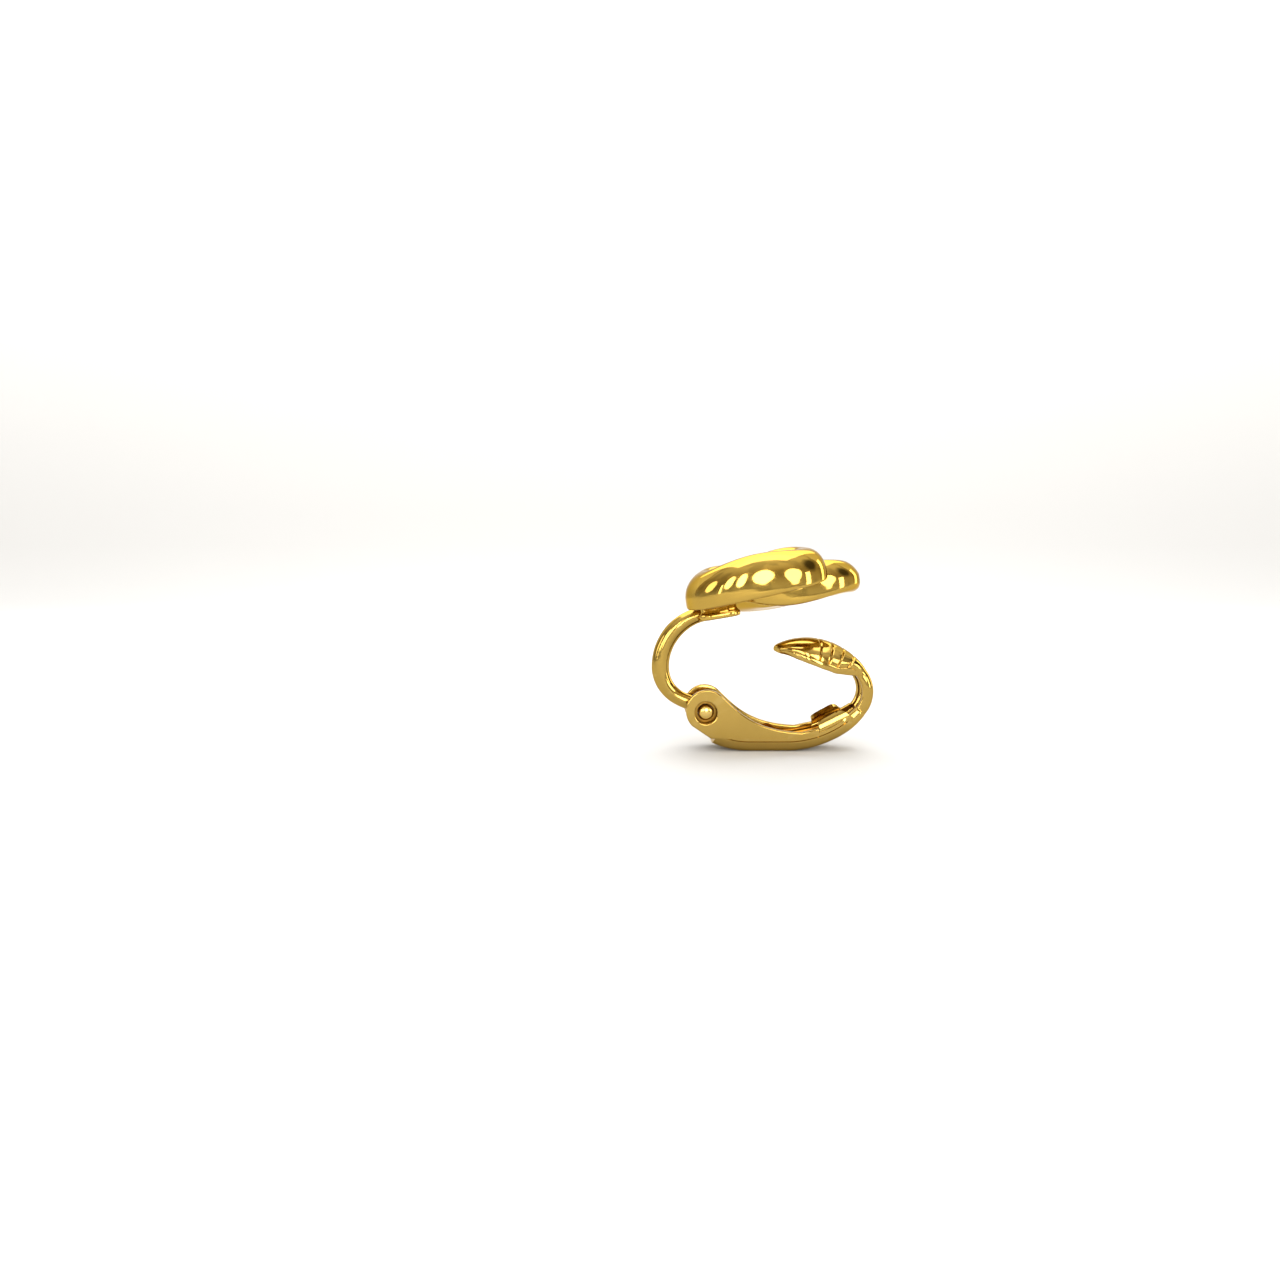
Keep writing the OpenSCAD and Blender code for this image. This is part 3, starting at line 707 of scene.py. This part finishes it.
def lug_curl():
    """Inward, upward and lean of points along a lug's middle line, as if it had its full length."""
    curl = [(0.0, LUG_FOOT, LUG_LEAN_LOW)]
    step = CURL_LENGTH / CURL_STEPS
    for k in range(CURL_STEPS):
        y, up, _ = curl[-1]
        lean = mix(LUG_LEAN_LOW, LUG_LEAN_TOP, smooth((k / CURL_STEPS - 0.1) / 0.9))
        curl.append((y + step * sin(lean), up + step * cos(lean), lean))
    return curl


def lug(side):
    """A lug that grows out of a side wall and curls in over the spring."""
    mid = FLAT_X1 + LUG_MIDDLE
    z = SPINE_BEND - math.sqrt(SPINE_BEND ** 2 - LUG_MIDDLE ** 2) + WALL_LOW
    slope = math.degrees(math.asin(LUG_MIDDLE / SPINE_BEND))
    curl = lug_curl()
    rings = []
    for i in range(LUG_STATIONS + 1):
        x = mix(LUG_TOP[0][0], LUG_TOP[-1][0], i / LUG_STATIONS)
        reach = (lookup(x, LUG_TOP) - LUG_FOOT) / CURL_LENGTH
        outer, inner = [], []
        for k in range(LUG_ROWS + 1):
            place = CURL_STEPS * min(0.999, reach * k / LUG_ROWS)
            low, high = curl[int(place)], curl[int(place) + 1]
            y, up, lean = [mix(p, q, place % 1) for p, q in zip(low, high)]
            half = SHEET_T * LUG_T / 2 * (LUG_THIN if k == LUG_ROWS else 1.0)
            outer.append((y - half * cos(lean), up + half * sin(lean)))
            inner.append((y + half * cos(lean), up - half * sin(lean)))
        rings.append([(mid + x * cos(slope) - up * sin(slope), side * ((LEVER_W - SHEET_T) / 2 - y),
                       z + x * sin(slope) + up * cos(slope)) for y, up in outer + inner[::-1]])
    verts, faces = tube(rings, False)
    me = bpy.data.meshes.new("lug")
    me.from_pydata([tuple(c * MM for c in v) for v in verts], [], faces)
    bm = bmesh.new()
    bm.from_mesh(me)
    bmesh.ops.remove_doubles(bm, verts=bm.verts, dist=1e-6)
    bmesh.ops.recalc_face_normals(bm, faces=bm.faces)
    bm.to_mesh(me)
    bm.free()
    return link_object("lug", me)


lever = add_mesh("stamped_lever", *sheet_mesh(), STAMPED, "lever")
parts = [wall(1), wall(-1), lug(1), lug(-1)]
for p in parts:
    p.data.materials.append(STAMPED)
union(lever, parts)
finish_normals(lever, 32)
# The outer faces of the side walls are flat right up to their rounded edges.
for e in edges_round_flats(lever.data, LEVER_W / 2 - 0.05):
    lever.data.edges[e].use_edge_sharp = True
weigh_normals(lever)
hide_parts("paddle_lever")

# Leaf spring: an arc with chamfered edges, a little narrower at its last three stations.
SPRING_STATIONS, SPRING_CUT, SPRING_NARROW = 60, 0.05, 0.25
low_x, low_z = FLAT_X0 + SPRING_LOW, SHEET_T + SPRING_LIFT
left, right = HINGE_X + SPRING_LEFT, FLAT_X1 + SPRING_RIGHT
a0 = -math.degrees(math.asin((low_x - left) / SPRING_R))
a1 = math.degrees(math.asin((right - low_x) / SPRING_R))
rings = []
for k in range(SPRING_STATIONS + 1):
    a = mix(a0, a1, k / SPRING_STATIONS)
    end = min(k, SPRING_STATIONS - k)
    b, ht = SPRING_CUT, SPRING_T / 2
    hw = SPRING_W / 2 - SPRING_NARROW * max(0, 1 - end / 3) ** 2
    ring = [(-hw + b, -ht), (hw - b, -ht), (hw, -ht + b), (hw, ht - b), (hw - b, ht), (-hw + b, ht),
            (-hw, ht - b), (-hw, -ht + b)]
    rings.append([(low_x + (SPRING_R - v) * sin(a), u, low_z + SPRING_R - (SPRING_R - v) * cos(a))
                  for u, v in ring])
ob = add_mesh("leaf_spring_strip", *tube(rings, False), SPRING, "lever", 40)
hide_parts("leaf_spring")

# Floor: one sweep of white that curves up into a backdrop behind the earring. In metres.
scene = bpy.context.scene
scene.view_settings.view_transform = "Standard"
SWEEP_WIDE, SWEEP_TURN, SWEEP_R, SWEEP_TOP = 0.7, 0.22, 0.12, 0.6
# Axis, where the glow starts and is full, and its strength there.
SWEEP_GLOW = (("Y", 0.0, 0.12, 0.35), ("Z", 0.02, 0.25, 0.6))


def sweep_material():
    """Matt white that glows a little more the farther back and the higher up it is."""
    mat = bpy.data.materials.new("sweep_white")
    mat.use_nodes = True
    nt = mat.node_tree
    b = nt.nodes["Principled BSDF"]
    set_inputs(b, {"Base Color": (0.5, 0.5, 0.5, 1), "Roughness": 0.8, "Specular IOR Level": 0.2,
                   "Emission Color": (1, 1, 1, 1)})
    tc = add_node(nt, "ShaderNodeTexCoord")
    sep = add_node(nt, "ShaderNodeSeparateXYZ")
    nt.links.new(tc.outputs["Object"], sep.inputs["Vector"])
    back, up = [remap(nt, sep.outputs[axis], low, high, 0.0, most) for axis, low, high, most in SWEEP_GLOW]
    nt.links.new(combine(nt, "ADD", back, up), b.inputs["Emission Strength"])
    return mat


sweep = [(-0.45, 0.0), (0.07, 0.0), (0.13, 0.0), (SWEEP_TURN, 0.0)]
sweep += [(SWEEP_TURN + SWEEP_R * sin(a), SWEEP_R - SWEEP_R * cos(a)) for a in range(9, 91, 9)]
sweep += [(SWEEP_TURN + SWEEP_R, SWEEP_TOP)]
me = bpy.data.meshes.new("floor")
me.from_pydata([(x, y, z) for y, z in sweep for x in (-SWEEP_WIDE, SWEEP_WIDE)], [],
               [(2 * k, 2 * k + 1, 2 * k + 3, 2 * k + 2) for k in range(len(sweep) - 1)])
for p in me.polygons:
    p.use_smooth = True
floor = link_object("floor", me)
me.materials.append(sweep_material())

# Lights. They face a point a little above the earring's middle.
AIM_Z = 12


def area(name, shape, azimuth, elevation, far, size, radiance):
    """A soft light that faces the earring, azimuth from straight in front, with a given radiance."""
    data = bpy.data.lights.new(name, "AREA")
    data.shape = shape
    data.size, data.size_y = [c * MM for c in size]
    share = math.pi / 4 if shape == "ELLIPSE" else 1.0
    data.energy = radiance * math.pi * share * data.size * data.size_y
    out = Vector((sin(azimuth) * cos(elevation), -cos(azimuth) * cos(elevation), sin(elevation)))
    ob = link_object(name, data)
    ob.location = Vector((0, 0, AIM_Z * MM)) + out * far * MM
    ob.rotation_euler = (-out).to_track_quat("-Z", "Y").to_euler()


area("overhead", "RECTANGLE", 180, 84, 200, (260, 200), 2.4)
area("behind", "RECTANGLE", 180, 44, 230, (260, 120), 2.9)
area("window_1", "ELLIPSE", -78, 16, 220, (70, 90), 3)
area("window_2", "ELLIPSE", -43, 16, 220, (50, 100), 6)
area("window_3", "ELLIPSE", -24, 16, 220, (50, 110), 8)
area("window_4", "ELLIPSE", 6, 17, 220, (112, 115), 8)
area("window_5", "ELLIPSE", 50, 16, 220, (100, 95), 6)
area("strip_left", "RECTANGLE", -54, 6, 200, (8, 60), 8)
area("strip_right", "RECTANGLE", 76, 7, 200, (34, 60), 6)
area("side_right", "RECTANGLE", 122, 12, 220, (34, 110), 6)

# The room's light by height, from straight down to straight up: place, brightness and warmth.
ROOM = ((0.54, 0.72, 0.5), (0.62, 0.58, 1.0), (0.74, 0.74, 1.0), (0.86, 1.2, 0.3), (1.0, 1.6, 0.1))
WARM_GREEN, WARM_BLUE = 0.14, 0.4
DARK_SPOT = (0.88, 0.05, 0.47)

world = bpy.data.worlds.new("studio")
scene.world = world
world.use_nodes = True
nt = world.node_tree
bg = nt.nodes["Background"]
facing = add_node(nt, "ShaderNodeTexCoord").outputs["Generated"]
sep = add_node(nt, "ShaderNodeSeparateXYZ")
nt.links.new(facing, sep.inputs["Vector"])
ramp = add_node(nt, "ShaderNodeValToRGB")
nt.links.new(remap(nt, sep.outputs["Z"], -1.0, 1.0), ramp.inputs["Fac"])
stops = ramp.color_ramp.elements
stops[0].position, stops[1].position = 0.0, 0.5
stops[0].color = (0.8, 0.8, 0.8, 1)
stops[1].color = (0.9, 0.89, 0.87, 1)
for place, v, warm in ROOM:
    stop = stops.new(place)
    stop.color = (v, v * (1 - WARM_GREEN * warm), v * (1 - WARM_BLUE * warm), 1)
# The room around the table: soft lighter and darker patches.
patches = remap(nt, noise(nt, facing, 3.1, 2.5), 0.42, 0.56, 0.72, 1.0)
room = darken(nt, ramp.outputs["Color"], patches)
# It is darker on the hoop's side, and something dark stands to the right.
left_side = remap(nt, sep.outputs["X"], -0.9, -0.2, 0.75, 1.0)
apart = add_node(nt, "ShaderNodeVectorMath")
apart.operation = "DISTANCE"
apart.inputs[1].default_value = DARK_SPOT
nt.links.new(facing, apart.inputs[0])
spot = remap(nt, apart.outputs["Value"], 0.16, 0.3, 0.2, 1.0)
room = darken(nt, room, combine(nt, "MULTIPLY", left_side, spot))
# The room only lights the earring: past the sweep's sides, the picture is plain white.
rays = add_node(nt, "ShaderNodeLightPath")
plain = toward_color(nt, rays.outputs["Is Camera Ray"], room, (1, 1, 1))
nt.links.new(plain, bg.inputs["Color"])
bg.inputs["Strength"].default_value = 1.0

# The camera stands on the photograph's own middle, and the earring lies to the right of it.
PHOTO_PX, PX_PER_MM = 1280, 11.0
ORIGIN_PX = (762, 749)
CAM_D, CAM_Z, SENSOR = 90.0, 18.0, 36.0

mid_x = (PHOTO_PX / 2 - ORIGIN_PX[0]) / PX_PER_MM
mid_z = (ORIGIN_PX[1] - PHOTO_PX / 2) / PX_PER_MM
cam_data = bpy.data.cameras.new("camera")
cam = link_object("camera", cam_data)
cam.location = (mid_x * MM, -CAM_D * MM, CAM_Z * MM)
aim = Vector((mid_x * MM, 0, mid_z * MM)) - cam.location
cam.rotation_euler = aim.to_track_quat("-Z", "Y").to_euler()
cam_data.sensor_width = SENSOR
cam_data.lens = SENSOR * aim.length / (PHOTO_PX / PX_PER_MM * MM)
cam_data.clip_start = 0.001
scene.camera = cam
